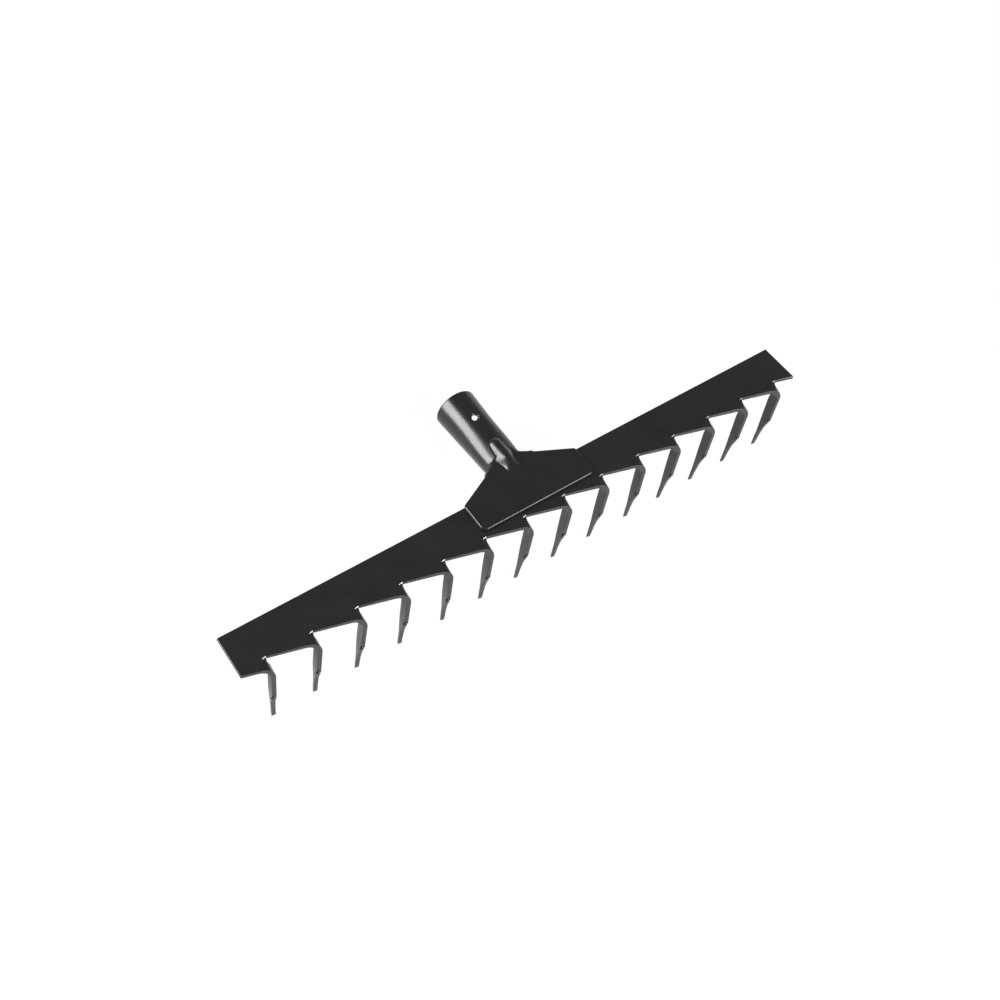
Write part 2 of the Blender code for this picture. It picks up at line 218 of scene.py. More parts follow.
# %% [markdown]
# ## Black paint
#
# The real steel was dipped or sprayed after it was pressed. The paint is smooth on the flats,
# with the faint waves of spray, and thin over the sheared edges, where the torn grain of the steel
# shows through as a greyer, duller band. On the inner faces of the teeth it ran down and dried in
# streaks. All of that is noise at the right size, and the mesh says which points are sheared.

# %% Paints
BLACK = (0.0048, 0.0048, 0.0051)
DUSTY_BLACK = (0.0085, 0.0085, 0.0091)
SHEARED_GREY = (0.038, 0.038, 0.040)
DARK_STEEL = (0.18, 0.18, 0.19)
LIGHT_STEEL = (0.36, 0.36, 0.37)
CLOUD_SIZE = 16  # all sizes of noise are in mm
SPECK_SIZE = 0.7
GRAIN_SIZES = (0.5, 0.5, 3.0)
STREAK_SIZES = (1.0, 1.0, 12.0)
BEAD_GRAIN_SIZE = 0.8
TORN_GRAIN_SIZE = 0.4
WAVE_HEIGHT = 0.02 * MM
BEAD_GRAIN_HEIGHT = 0.06 * MM
TORN_GRAIN_HEIGHT = 0.03 * MM


def sheet_paint(name, roughness, spread, wave_size):
    """Paint on pressed sheet: clouds of dust, waves of spray, dried streaks, and a fine grain."""
    finish = Finish(name)
    clouds = finish.noise(CLOUD_SIZE, detail=4.0)
    specks = finish.noise(SPECK_SIZE, detail=3.0).above(0.66, 0.08)
    sheared = finish.attribute("sheared")
    grain = finish.noise(*GRAIN_SIZES, detail=3.0)
    streaks = finish.noise(*STREAK_SIZES, detail=3.0)
    dusted = finish.mix(clouds.above(0.5, 0.5) * 0.8 + specks * 0.2, BLACK, DUSTY_BLACK)
    finish.set(Base_Color=finish.mix(sheared * (grain * 0.8 + 0.3), dusted, SHEARED_GREY))
    dull = clouds * spread + (roughness - spread / 2)
    dull = dull + specks * 0.06 + (streaks - 0.5) * 0.2
    finish.set(Roughness=dull + sheared * (grain * 0.2 + 0.12))
    waves = finish.noise(wave_size, detail=1.5)
    finish.bump(waves * (1 - sheared) + sheared * grain * 2.0, WAVE_HEIGHT)
    return finish


blade_paint = sheet_paint("black_on_blade", roughness=0.30, spread=0.10, wave_size=1.8)
socket_paint = sheet_paint("black_on_socket", roughness=0.27, spread=0.06, wave_size=2.4)


def weld_finish():
    """Paint over a bead: duller, and grey where spatter was brushed off."""
    finish = Finish("black_on_weld")
    grain = finish.noise(BEAD_GRAIN_SIZE, detail=4.0)
    finish.set(Base_Color=finish.mix(grain.above(0.55, 0.3), BLACK, SHEARED_GREY))
    finish.set(Roughness=grain * 0.2 + 0.35)
    finish.bump(grain, BEAD_GRAIN_HEIGHT)
    return finish


weld_paint = weld_finish()


def bare_steel():
    """The torn lips at the notches, where the paint has cracked off the steel."""
    finish = Finish("bare_steel")
    grain = finish.noise(TORN_GRAIN_SIZE, detail=3.0)
    finish.set(Base_Color=finish.mix(grain, DARK_STEEL, LIGHT_STEEL))
    finish.set(Metallic=1.0, Roughness=grain * 0.16 + 0.3)
    finish.bump(grain, TORN_GRAIN_HEIGHT)
    return finish


torn_steel = bare_steel()
finishes = (blade_paint, socket_paint, weld_paint, torn_steel)
print("finishes:", [finish.material.name for finish in finishes])

# %% [markdown]
# ## Finishing a piece
#
# Every piece is made as a bmesh in the head's frame. One helper lays it down, shades it and hides
# the solid it stands for. Flat faces beside small rounded rims shade evenly only if large faces
# count for more in the normals, which is what the Weighted Normal modifier does. The other helpers
# here serve more than one piece.

# %% From a bmesh to a piece
SHARP_TURN = math.radians(50.0)
MERGE_DISTANCE = 0.002 * MM
FLAT_TURN = math.radians(0.3)


def finish_piece(name, bm, node, slot, *finishes):
    """Lays a bmesh down as the piece that stands for a solid."""
    bm.transform(HEAD_TO_WORLD)
    mesh = bpy.data.meshes.new(name)
    bm.to_mesh(mesh)
    bm.free()
    mesh.shade_smooth()
    mesh.set_sharp_from_angle(angle=SHARP_TURN)
    for finish in finishes:
        mesh.materials.append(finish.material)
    piece = bpy.data.objects.new(name, mesh)
    bpy.context.scene.collection.objects.link(piece)
    normals = piece.modifiers.new("even_shading", "WEIGHTED_NORMAL")
    normals.keep_sharp = True
    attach(piece, "root")
    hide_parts(node)
    print(name, "has", len(mesh.polygons), "faces")


def steps_between(start, end, count):
    """Equal steps after start, up to and with end."""
    return [start + (end - start) * (step + 1) / count for step in range(count)]


def eased(value, start, end):
    """0 before start and 1 after end, with a smooth step between."""
    share = min(1.0, max(0.0, (value - start) / (end - start)))
    return share ** 2 * (3 - 2 * share)


def merged_copy(node):
    """A solid's mesh in the head's frame, its triangles joined and its flat faces whole."""
    bm = bmesh.new()
    bm.from_mesh(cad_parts[node].data)
    bmesh.ops.remove_doubles(bm, verts=bm.verts, dist=MERGE_DISTANCE)
    bmesh.ops.dissolve_limit(bm, angle_limit=FLAT_TURN, verts=bm.verts, edges=bm.edges)
    bm.transform(HEAD_TO_WORLD.inverted())
    return bm


def cut_across(bm, axis, place):
    """Cuts all faces along a plane across an axis, so that they have points there."""
    geom = [*bm.verts, *bm.edges, *bm.faces]
    bmesh.ops.bisect_plane(bm, geom=geom, plane_co=axis * place, plane_no=axis)


# %% [markdown]
# ## The toothed blade
#
# The blade's solid already has the right shape, down to the torn web at each notch. What it lacks
# is what light shows: the thin rounding that a press and paint leave on every sheared edge. A
# bevel on the merged copy gives it. A bevel modifier would do as well, but here the new faces are
# needed at once, to mark the sheared walls for the paint.

# %% Rounded edges of the blade
TOP_ROUNDING = 0.50 * MM  # along the plate's upper edges, which the shear rolls over
EDGE_ROUNDING = 0.26 * MM  # along all the others
UNDER_TOP = -0.01 * MM  # just below the plate's upper face
ANY_HEIGHT = -1.0
EDGE_TURN = math.radians(50.0)
BEND_SKEW = math.radians(8.5)  # of each tooth's bend, against Y
ACROSS_SHEAR = Vector((math.sin(BEND_SKEW), math.cos(BEND_SKEW), 0))
WALL_LEAST = 0.3  # how much like a sheared wall each face at a sheared point is
WALL_MOST = 0.75  # and the one that is most like it
END_POWER = 40  # keeps all but the blade's square ends from counting as walls across X


def round_edges(bm, rounding, segments, lowest):
    """Rounds the sharp edges that lie above a height."""
    edges = [
        edge
        for edge in bm.edges
        if edge.calc_face_angle(0.0) > EDGE_TURN
        and min(vert.co.z for vert in edge.verts) > lowest
    ]
    bmesh.ops.bevel(
        bm, geom=edges, offset=rounding, offset_type="OFFSET", segments=segments, profile=0.5,
        affect="EDGES", clamp_overlap=False, material=-1,
    )


def wall_share(face):
    """1 on a face that looks straight across the shear or out of the blade's ends."""
    return max(abs(face.normal.dot(ACROSS_SHEAR)), abs(face.normal.x) ** END_POWER)


def mark_sheared(bm):
    """Marks the points of the sheared walls for the paint, up to the middle of the rounded edges."""
    layer = bm.verts.layers.float.new("sheared")
    bm.normal_update()
    for vert in bm.verts:
        shares = [wall_share(face) for face in vert.link_faces]
        vert[layer] = float(min(shares) > WALL_LEAST and max(shares) > WALL_MOST)


blade = merged_copy("toothed_blade")
round_edges(blade, TOP_ROUNDING, segments=3, lowest=UNDER_TOP)
round_edges(blade, EDGE_ROUNDING, segments=2, lowest=ANY_HEIGHT)
print("blade with rounded edges:", len(blade.faces), "faces")

# %% [markdown]
# Below its kink a tooth's front edge is slightly hollow, because the cut there follows the curve of
# the die. Level cuts give the straight edge enough points, and the points near the front edge then
# move back, most of all just above the middle of the way down, and half as much at the tip.

# %% Hollow front edges
TOOTH_COUNT = 14
TOOTH_PITCH = 27.0 * MM
FIRST_NOTCH = -174.3 * MM  # from the middle of the blade
NOTCH_DEPTH = 22.27 * MM  # from the back edge
TOOTH_START = -6.0 * MM  # the left end of a tooth's share of the blade, from its notch
KINK_ZONE = (-29.0 * MM, -23.0 * MM)  # heights at which the teeth have their kinks
KINK_MARGIN = 1.0 * MM  # how far behind the frontmost point a kink's points lie
TIP_MARGIN = 1.5 * MM  # how far above the lowest point a tip's points lie
HOLLOW = 1.1 * MM
HOLLOW_REACH = (0.6 * MM, 3.5 * MM)  # behind the front edge: where the hollow fades, and is gone
HOLLOW_FULL = (0.4, 0.5)  # where it is deepest, as shares of the way down from the kink
TIP_LOSS = 0.5  # how much of it is gone at the tip
HOLLOW_CUTS = 10
UPWARD = Vector((0, 0, 1))
# Back along the floor, so that the tips stay on it
LEVEL_BACK = HEAD_TO_WORLD.to_3x3().inverted() @ Vector((0, 1, 0))


def tooth_points(bm, tooth):
    """The points below the plate that belong to one tooth."""
    start = FIRST_NOTCH + tooth * TOOTH_PITCH + TOOTH_START
    below = [vert for vert in bm.verts if vert.co.z < KINK_ZONE[1]]
    return [vert for vert in below if start < vert.co.x < start + TOOTH_PITCH]


def kink_of(points):
    """The place of a kink: the frontmost points of a tooth at the kinks' height."""
    near = [vert.co.copy() for vert in points if vert.co.z > KINK_ZONE[0]]
    front = min(point.y for point in near)
    edge = [point for point in near if point.y < front + KINK_MARGIN]
    return sum(edge, Vector()) / len(edge)


def hollow_out(bm, tooth, kink):
    """Moves the points near a tooth's front edge back, below its kink."""
    points = [vert for vert in tooth_points(bm, tooth) if vert.co.z < kink.z]
    foot = min(vert.co.z for vert in points)
    foot_front = min(vert.co.y for vert in points if vert.co.z < foot + TIP_MARGIN)
    for vert in points:
        down = (kink.z - vert.co.z) / (kink.z - foot)
        behind = vert.co.y - (kink.y + (foot_front - kink.y) * down)
        depth = HOLLOW * eased(down, 0.0, HOLLOW_FULL[0])
        depth *= 1 - TIP_LOSS * eased(down, HOLLOW_FULL[1], 1.0)
        vert.co += LEVEL_BACK * (depth * (1 - eased(behind, *HOLLOW_REACH)))


kinks = [kink_of(tooth_points(blade, tooth)) for tooth in range(TOOTH_COUNT)]
blade_foot = min(vert.co.z for vert in blade.verts)
for height in steps_between(KINK_ZONE[0], blade_foot, HOLLOW_CUTS)[:-1]:
    cut_across(blade, UPWARD, height)
for tooth, kink in enumerate(kinks):
    hollow_out(blade, tooth, kink)
mark_sheared(blade)
print("kink heights in mm:", [round(kink.z / MM, 1) for kink in kinks])
print("the teeth end in mm at:", round(blade_foot / MM, 1))

# %% [markdown]
# Two small things sit on the blade. At each kink of a tooth, where the shear's cut ran out
# through the strip's edge, a burr is left. At each notch corner the torn steel stands up as a thin
# lip, and its slope is the bright speck at every corner. They are too small for the solids, so
# they are shaped from a ball and a cube and added to the blade's mesh.

# %% Burrs and torn lips
BURR_SIZES = Vector((3.4, 1.8, 2.0)) * MM
BURR_SHIFT = Vector((-0.5, 0.1, 0.0)) * MM
LIP_SIZES = Vector((2.2, 0.75, 0.4)) * MM  # along the tear, across it, and up
LIP_TURN = math.radians(188.0)
LIP_PLACE = Vector((-1.0, -0.4, 0.0)) * MM  # of its middle, from the notch corner
LIP_CREST = -0.42  # where its crest lies across it, as a share of its width
LIP_CREST_WIDTH = 0.05
LIP_NARROW_END = 0.55  # the width of its far end


def add_burr(bm, place):
    matrix = Matrix.Translation(place) @ Matrix.Diagonal((*BURR_SIZES, 1.0))
    bmesh.ops.create_icosphere(bm, subdivisions=2, radius=0.5, matrix=matrix)


def add_lip(bm, notch):
    """A low wedge along the tear, steep towards the tooth and sloping to the plate's side."""
    place = Vector((notch, -NOTCH_DEPTH, 0)) + LIP_PLACE
    made = bmesh.ops.create_cube(bm, size=1.0)
    for vert in made["verts"]:
        along, across, up = vert.co
        if up > 0:
            across = LIP_CREST + LIP_CREST_WIDTH * across
        across *= LIP_NARROW_END + (1 - LIP_NARROW_END) * (0.5 - along)
        vert.co = Vector((along * LIP_SIZES.x, across * LIP_SIZES.y, up * 2 * LIP_SIZES.z))
    turn = Matrix.Rotation(LIP_TURN, 3, "Z")
    bmesh.ops.rotate(bm, verts=made["verts"], cent=(0, 0, 0), matrix=turn)
    bmesh.ops.translate(bm, verts=made["verts"], vec=place)
    for face in {face for vert in made["verts"] for face in vert.link_faces}:
        face.material_index = 1


for kink in kinks:
    add_burr(blade, kink + BURR_SHIFT)
for tooth in range(TOOTH_COUNT):
    add_lip(blade, FIRST_NOTCH + tooth * TOOTH_PITCH)
finish_piece("painted_blade", blade, "toothed_blade", "blade_paint", blade_paint, torn_steel)

# %% [markdown]
# ## The handle socket
#
# The socket is one sheet: flat over the blade, turned down along the neck, rolled up round the
# handle, with a rib pressed up along its middle. Such a sheet is a grid that has been bent. Each
# point keeps two numbers, its way across the sheet and its place along it, and a formula bends
# them into the right section. The holes are squares of the grid that are left out, whose rims
# are drawn out into circles.

# %% Measures of the socket
SEAT_GAP = 0.3 * MM  # between the blade and what touches it
SHEET = 1.7 * MM
FLANGE_TOP = 2.0 * MM
FLANGE_HALF_WIDTH = 38.8 * MM
FLANGE_FRONT = 19.5 * MM  # in front of the blade's back edge; the places below are behind it
FRONT_CORNER = 3.5 * MM
BACK_CORNER = 2.0 * MM
NECK_HALF_WIDTH = 16.8 * MM  # where the flange's shoulders end
NECK_START = 10.6 * MM
NECK_BEND = 4.9 * MM  # outer radius of the turned sides
NECK_CURVE = 1.9  # how hollow the neck is, seen from above; 1 is straight
WING_END = 22.0 * MM  # where the front rims of the turned sides meet underneath
CREASE_PLACE = 16.9 * MM
CREASE = 1.2 * MM  # its width along the sheet
RIGHT_CREASE = 5.0 * MM  # its softer width, to the right of the rib
SOFTER_WAYS = (-2.0 * MM, 3.0 * MM)  # ways across between which it turns softer
TUBE_DROP = 6.3 * MM  # of the tube's axis below the blade's upper face
TUBE_START = 18.0 * MM
TUBE_LENGTH = 48.0 * MM
TUBE_START_RADIUS = 11.0 * MM
TUBE_MOUTH_RADIUS = 13.15 * MM
TUBE_MOUTH = TUBE_START + TUBE_LENGTH
SEAM_WIDTH = 1.0 * MM
RIB_RISE = 4.1 * MM  # of its crest above the flange
RIB_START = 2.0 * MM
RIB_RAMP = 12.5 * MM
RIB_TAIL = 25.6 * MM  # where the rib's round back end begins
RIB_FRONT_HALF = 4.5 * MM  # half its width on the neck
RIB_BACK_HALF = 6.3 * MM  # and on the tube, which covers its lower part
RIB_WIDENING = (9.0 * MM, 19.0 * MM)
RIB_ROUNDNESS = 0.7  # of its crest, against its half width
BULGE = 0.085  # how much fuller than a circle the tube is where it leaves the neck
BULGE_TURN = math.radians(68.0)  # of its middle, on either side of the tube's top
BULGE_HALF_TURN = math.radians(45.0)
BULGE_ENDS = (20.0 * MM, 50.0 * MM)  # where it starts to fade, and where it is gone
RIM = 0.8 * MM  # radius of the upper face's rims
INNER_RIM = 0.25  # of the lower face's rims, against the upper one's
SLIT_DEPTH = 0.3 * MM  # of the fold at the rib's left foot, along the tube
SLIT_HALF = 0.35 * MM  # the height difference of rib and tube over which it closes
SLIT_ENDS = (17.6 * MM, 18.6 * MM, 22.5 * MM, 25.0 * MM)  # it starts, is full, fades, is gone

SHOULDER = Vector((NECK_HALF_WIDTH - FLANGE_HALF_WIDTH, NECK_START))
SHOULDER_TURN = math.pi / 2 - math.atan2(SHOULDER.y, -SHOULDER.x)
BACK_TANGENT = BACK_CORNER * math.tan(SHOULDER_TURN / 2)
print("the shoulders turn in by", round(math.degrees(SHOULDER_TURN), 1), "degrees")

# %% [markdown]
# The outline comes first: how wide the sheet is at each place along it. Over the blade that is a
# flat plate with rounded corners and slanted shoulders, and behind it the width of the rolled
# section, which the two edges of the sheet close until they meet at a seam underneath.

# %% Outline of the sheet


def flange_half(y):
    """Half the flange's width at y, with its rounded corners."""
    front = y + FLANGE_FRONT
    if front < FRONT_CORNER:
        out = math.sqrt(max(0.0, front * (2 * FRONT_CORNER - front)))
        return FLANGE_HALF_WIDTH - FRONT_CORNER + out
    if y < -BACK_TANGENT:
        return FLANGE_HALF_WIDTH
    past = y + BACK_TANGENT
    if past < BACK_CORNER * math.sin(SHOULDER_TURN):
        return FLANGE_HALF_WIDTH - BACK_CORNER + math.sqrt(BACK_CORNER ** 2 - past ** 2)
    return FLANGE_HALF_WIDTH + SHOULDER.x * y / SHOULDER.y


def tube_radius(y):
    share = (y - TUBE_START) / TUBE_LENGTH
    return TUBE_START_RADIUS + share * (TUBE_MOUTH_RADIUS - TUBE_START_RADIUS)


def section_at(y):
    """The section at y: half its flat top, the radius of its bends, and the height of its top."""
    if y < NECK_START:
        return flange_half(y), NECK_BEND, FLANGE_TOP
    if y > TUBE_START:
        return 0.0, tube_radius(y), tube_radius(y) - TUBE_DROP
    share = (y - NECK_START) / (TUBE_START - NECK_START)
    narrow = TUBE_START_RADIUS - NECK_BEND
    flat = narrow + (NECK_HALF_WIDTH - narrow) * (1 - share) ** NECK_CURVE
    return flat, NECK_BEND, FLANGE_TOP


def half_sheet(y):
    """The way along the section from its middle to the edge of the sheet."""
    if y < NECK_START:
        return flange_half(y)
    flat, bend, top = section_at(y)
    closed = flat + bend * math.pi / 2 + top - bend + TUBE_DROP
    closed += (flat + bend) * math.pi / 2 - SEAM_WIDTH / 2
    share = min(1.0, (y - NECK_START) / (WING_END - NECK_START))
    return NECK_HALF_WIDTH + (closed - NECK_HALF_WIDTH) * (1 - math.cos(share * math.pi / 2))


places = (-FLANGE_FRONT, 0.0, NECK_START, WING_END, TUBE_MOUTH)
print("half widths in mm:", [round(half_sheet(y) / MM, 1) for y in places])

# %% [markdown]
# Then the bending: a way across the sheet becomes a point on the section, and the rib lifts the
# points near the middle. Where the neck's flat top runs into the round tube, the two sections are
# mixed over a crease, which is where the highlight of the tube breaks off: short on the left, and
# softer on the right. Behind it the tube is a little fuller than a circle at its sides, and on the
# left a shallow fold runs along the foot of the rib.

# %% Bending the sheet


def on_section(way, flat, bend, top):
    """X and Z at a way along a section: flat top, bend, upright side, half-round bottom."""
    if way <= flat:
        return Vector((way, top))
    turn = (way - flat) / bend
    if turn <= math.pi / 2:
        return Vector((flat + bend * math.sin(turn), top - bend * (1 - math.cos(turn))))
    down = way - flat - bend * math.pi / 2
    side = top - bend + TUBE_DROP
    if down <= side:
        return Vector((flat + bend, top - bend - down))
    radius = flat + bend
    turn = (down - side) / radius
    return Vector((radius * math.cos(turn), -TUBE_DROP - radius * math.sin(turn)))


def rib_height(x, y):
    """The height of the rib's own surface; its back end is round, and its front end is a ramp."""
    half = RIB_FRONT_HALF + (RIB_BACK_HALF - RIB_FRONT_HALF) * eased(y, *RIB_WIDENING)
    from_crest = math.hypot(x, max(0.0, y - RIB_TAIL)) / half
    foot = math.hypot(1.0, RIB_ROUNDNESS)
    share = (foot - math.hypot(from_crest, RIB_ROUNDNESS)) / (foot - RIB_ROUNDNESS)
    return FLANGE_TOP + RIB_RISE * eased(y, RIB_START, RIB_START + RIB_RAMP) * share


def bulged(spot, y):
    """A point of the tube's section, moved out where the tube is fuller than a circle."""
    arm = Vector((spot.x, spot.y + TUBE_DROP))
    off = (math.atan2(arm.x, arm.y) - BULGE_TURN) / BULGE_HALF_TURN
    if abs(off) > 1:
        return spot
    fuller = BULGE * (1 - eased(y, *BULGE_ENDS)) * math.cos(off * math.pi / 2) ** 2
    return spot + arm * fuller


def bent(way, y):
    """The point of the finished sheet's outer face at a way across it and a place along it."""
    width = CREASE + (RIGHT_CREASE - CREASE) * eased(way, *SOFTER_WAYS)
    share = min(1.0, max(0.0, (y - CREASE_PLACE) / width + 0.5))
    point = Vector((0.0, 0.0))
    if share < 1:
        point += on_section(abs(way), *section_at(min(y, TUBE_START - CREASE / 2))) * (1 - share)
    if share > 0:
        place = max(y, TUBE_START + CREASE / 2)
        point += bulged(on_section(abs(way), *section_at(place)), place) * share
    if point.y > 0:
        rib = rib_height(point.x, y)
        fold = max(0.0, 1 - abs(rib - point.y) / SLIT_HALF) if way < 0 else 0.0
        fold *= eased(y, *SLIT_ENDS[:2]) * (1 - eased(y, *SLIT_ENDS[2:]))
        point.y = max(point.y, rib) - SLIT_DEPTH * fold
    return Vector((math.copysign(point.x, way), y, point.y))


print("top of the tube's mouth in mm:", round(bent(0.0, TUBE_MOUTH).z / MM, 2))

# %% [markdown]
# The grid's rows and columns lie close where the sheet bends sharply, and at the rims, which are
# rounded. Rows are places along the sheet and columns are ways across it.

# %% Rows and columns
RIB_COLUMNS = 22
RIB_COLUMNS_HALF = 6.0 * MM  # over which the columns lie closest
SIDE_COLUMNS = 48
RIM_STEPS = 5
FRONT_CORNER_STEPS = 9
BACK_CORNER_STEPS = 6
FLANGE_ROWS = 10
TOP_HOLE_Y = TUBE_MOUTH - 20.0 * MM
TOP_HOLE_ROWS = 16  # on either side of the hole's middle
TOP_HOLE_CELL = RIB_COLUMNS_HALF / RIB_COLUMNS
SIDE_HOLE_Y = TUBE_MOUTH - 7.3 * MM
SIDE_HOLE_ROWS = (8, 6)  # before and after the hole's middle
SIDE_HOLE_CELL = 0.9 * MM

# How far the steps over a rounded rim are from the sheet's edge
RIM_PLACES = [RIM * (1 - math.cos(math.pi / 2 * step / RIM_STEPS)) for step in range(RIM_STEPS)]


def ways_across(half):
    """Ways from the middle to the edge: over the rib, over the side, round the rim."""
    over_rib = [0.0] + steps_between(0.0, RIB_COLUMNS_HALF, RIB_COLUMNS)
    over_side = steps_between(over_rib[-1], half - RIM, SIDE_COLUMNS)
    return over_rib + over_side + [half - place for place in reversed(RIM_PLACES)]


def row_places():
    """Places from the flange's front to the tube's mouth."""
    turns = [math.pi / 2 * step / FRONT_CORNER_STEPS for step in range(FRONT_CORNER_STEPS + 1)]
    places = [-FLANGE_FRONT + FRONT_CORNER * (1 - math.cos(turn)) for turn in turns]
    places += [-FLANGE_FRONT + place for place in RIM_PLACES[1:]]
    places += steps_between(-FLANGE_FRONT + FRONT_CORNER, -BACK_TANGENT, FLANGE_ROWS)[:-1]
    turns = [SHOULDER_TURN * step / BACK_CORNER_STEPS for step in range(BACK_CORNER_STEPS + 1)]
    places += [-BACK_TANGENT + BACK_CORNER * math.sin(turn) for turn in turns]
    bands = (
        # where a band ends, and its rows
        (RIB_START, 8),
        (NECK_START, 12),
        (CREASE_PLACE - CREASE / 2, 20),
        (CREASE_PLACE + CREASE / 2, 8),
        (WING_END, 12),
        (RIB_TAIL, 5),
        (RIB_TAIL + RIB_BACK_HALF / 2, 14),
        (TOP_HOLE_Y - TOP_HOLE_ROWS * TOP_HOLE_CELL, 12),
        (TOP_HOLE_Y + TOP_HOLE_ROWS * TOP_HOLE_CELL, 2 * TOP_HOLE_ROWS),
        (SIDE_HOLE_Y - SIDE_HOLE_ROWS[0] * SIDE_HOLE_CELL, 2),
        (SIDE_HOLE_Y + SIDE_HOLE_ROWS[1] * SIDE_HOLE_CELL, sum(SIDE_HOLE_ROWS)),
    )
    start = places[-1]
    for end, count in bands:
        places += steps_between(start, end, count)
        start = end
    places += [TUBE_MOUTH - RIM] + [TUBE_MOUTH - place for place in RIM_PLACES]
    return sorted(set(places))


rows = row_places()
columns = len(ways_across(half_sheet(0.0)))
print("rows:", len(rows), "columns on each side:", columns)

# %% [markdown]
# The two nail holes sit in that grid. Round a hole's middle a square block of cells is left out,
# and the rings of points round it move from squares to circles, less and less with distance.

# %% Sheet from a grid
TOP_HOLE_RADIUS = 2.2 * MM
SIDE_HOLE_RADIUS = 3.2 * MM
SIDE_HOLE_TURN = math.radians(123.5)  # round the tube, from its top
SIDE_HOLE_WAY = tube_radius(SIDE_HOLE_Y) * SIDE_HOLE_TURN
HOLES = (
    # way, place, radius, cells from the middle to the rim, cells to where the grid is even again
    (0.0, TOP_HOLE_Y, TOP_HOLE_RADIUS, 8, 14),
    (SIDE_HOLE_WAY, SIDE_HOLE_Y, SIDE_HOLE_RADIUS, 4, 8),
)


def nearest(values, wanted):
    """The index of the value that is nearest to the one wanted."""
    return min(range(len(values)), key=lambda index: abs(values[index] - wanted))


def grid_of_ways():
    """A flat grid whose X and Y are ways and places, with rings of points round the holes."""
    bm = bmesh.new()
    last = columns - 1
    bmesh.ops.create_grid(bm, x_segments=2 * last, y_segments=len(rows) - 1, size=1.0)
    ways = [ways_across(half_sheet(y)) for y in rows]
    cells = {}
    for vert in bm.verts:
        column = round((vert.co.x + 1) * last) - last
        row = round((vert.co.y + 1) / 2 * (len(rows) - 1))
        cells[vert] = (column, row)
        vert.co = Vector((math.copysign(ways[row][abs(column)], column), rows[row], 0.0))
    inside = []
    for way, place, radius, block, even in HOLES:
        middle_row = nearest(rows, place)
        middle_column = nearest(ways[middle_row], way)
        middle = Vector((way, place, 0.0))
        rings = {}
        for vert, (column, row) in cells.items():
            step = Vector((column - middle_column, row - middle_row, 0.0))
            rings[vert] = max(abs(step.x), abs(step.y))
            if block <= rings[vert] < even:
                round_place = middle + step.normalized() * radius * rings[vert] / block
                vert.co = vert.co.lerp(round_place, (even - rings[vert]) / (even - block))
        inside += [face for face in bm.faces if all(rings[vert] <= block for vert in face.verts)]
    bmesh.ops.delete(bm, geom=inside, context="FACES")
    return bm


sheet = grid_of_ways()
print("the flat sheet has", len(sheet.faces), "cells")

# %% [markdown]
# The flat grid is bent, and its outward normals are kept. An extrusion then gives the inner face,
# one sheet below. Towards every rim the outer face sinks by the rounding of that rim, and the inner
# one rises by a quarter as much, so the edges catch the light as pressed and painted steel does.

# %% Thickness and rims
SLOPE_STEP = 0.01 * MM


def rim_distance(way, y):
    """How far a point is from the nearest rim of the sheet."""
    slope = (half_sheet(y + SLOPE_STEP) - half_sheet(y - SLOPE_STEP)) / (2 * SLOPE_STEP)
    side = (half_sheet(y) - abs(way)) / math.hypot(1.0, slope)
    holes = [math.hypot(way - x, y - place) - radius for x, place, radius, _, _ in HOLES]
    return max(0.0, min(side, y + FLANGE_FRONT, TUBE_MOUTH - y, *holes))


def rim_drop(distance):
    """How far the outer face sinks at a distance from a rim."""
    if distance >= RIM:
        return 0.0
    return RIM - math.sqrt(RIM ** 2 - (RIM - distance) ** 2)


def bend_sheet(bm):
    """Bends the flat sheet, and gives it its thickness and its rounded rims."""
    outward = bm.verts.layers.float_vector.new("outward")
    drop = bm.verts.layers.float.new("drop")
    bm.verts.layers.float.new("sheared")
    for vert in bm.verts:
        way, y, _ = vert.co
        vert[drop] = rim_drop(rim_distance(way, y))
        vert.co = bent(way, y)
    bm.normal_update()
    if min(bm.faces, key=lambda face: face.calc_center_median().y).normal.z < 0:
        bmesh.ops.reverse_faces(bm, faces=bm.faces)
        bm.normal_update()
    for vert in bm.verts:
        vert[outward] = vert.normal.copy()
    outer = list(bm.verts)
    made = bmesh.ops.extrude_face_region(bm, geom=list(bm.faces))
    inner = {item for item in made["geom"] if isinstance(item, bmesh.types.BMVert)}
    for vert in inner:
        vert.co -= vert[outward] * (SHEET - vert[drop] * INNER_RIM)
    for vert in outer:
        vert.co -= vert[outward] * vert[drop]
    sheared = bm.verts.layers.float["sheared"]
    for face in bm.faces:
        if 0 < sum(vert in inner for vert in face.verts) < len(face.verts):
            for vert in face.verts:
                vert[sheared] = 1.0
    bmesh.ops.recalc_face_normals(bm, faces=bm.faces)
    if bm.calc_volume(signed=True) < 0:
        bmesh.ops.reverse_faces(bm, faces=bm.faces)
    bm.verts.layers.float_vector.remove(bm.verts.layers.float_vector["outward"])
    bm.verts.layers.float.remove(bm.verts.layers.float["drop"])


bend_sheet(sheet)
print("open edges:", sum(not edge.is_manifold for edge in sheet.edges))
print("volume in ml:", round(sheet.calc_volume() * 1e6, 2))
finish_piece("painted_socket", sheet, "handle_socket", "socket_paint", socket_paint)

# %% [markdown]
# ## The weld runs
#
# Under the flange, along the blade's back edge, two runs of weld hold the socket. A bead is laid
# in small steps, each of which freezes as a crescent, so its face is rippled. Cuts across the
# solid's bead give it enough rings, and each ring is a little fatter or thinner than the next.

# %% Rippled beads
RIPPLE_LENGTH = 1.5 * MM
RIPPLE_CUTS = 48
RIPPLE = 0.07  # how much fatter a ring is, as a share
ALONG_BEAD = Vector((1, 0, 0))


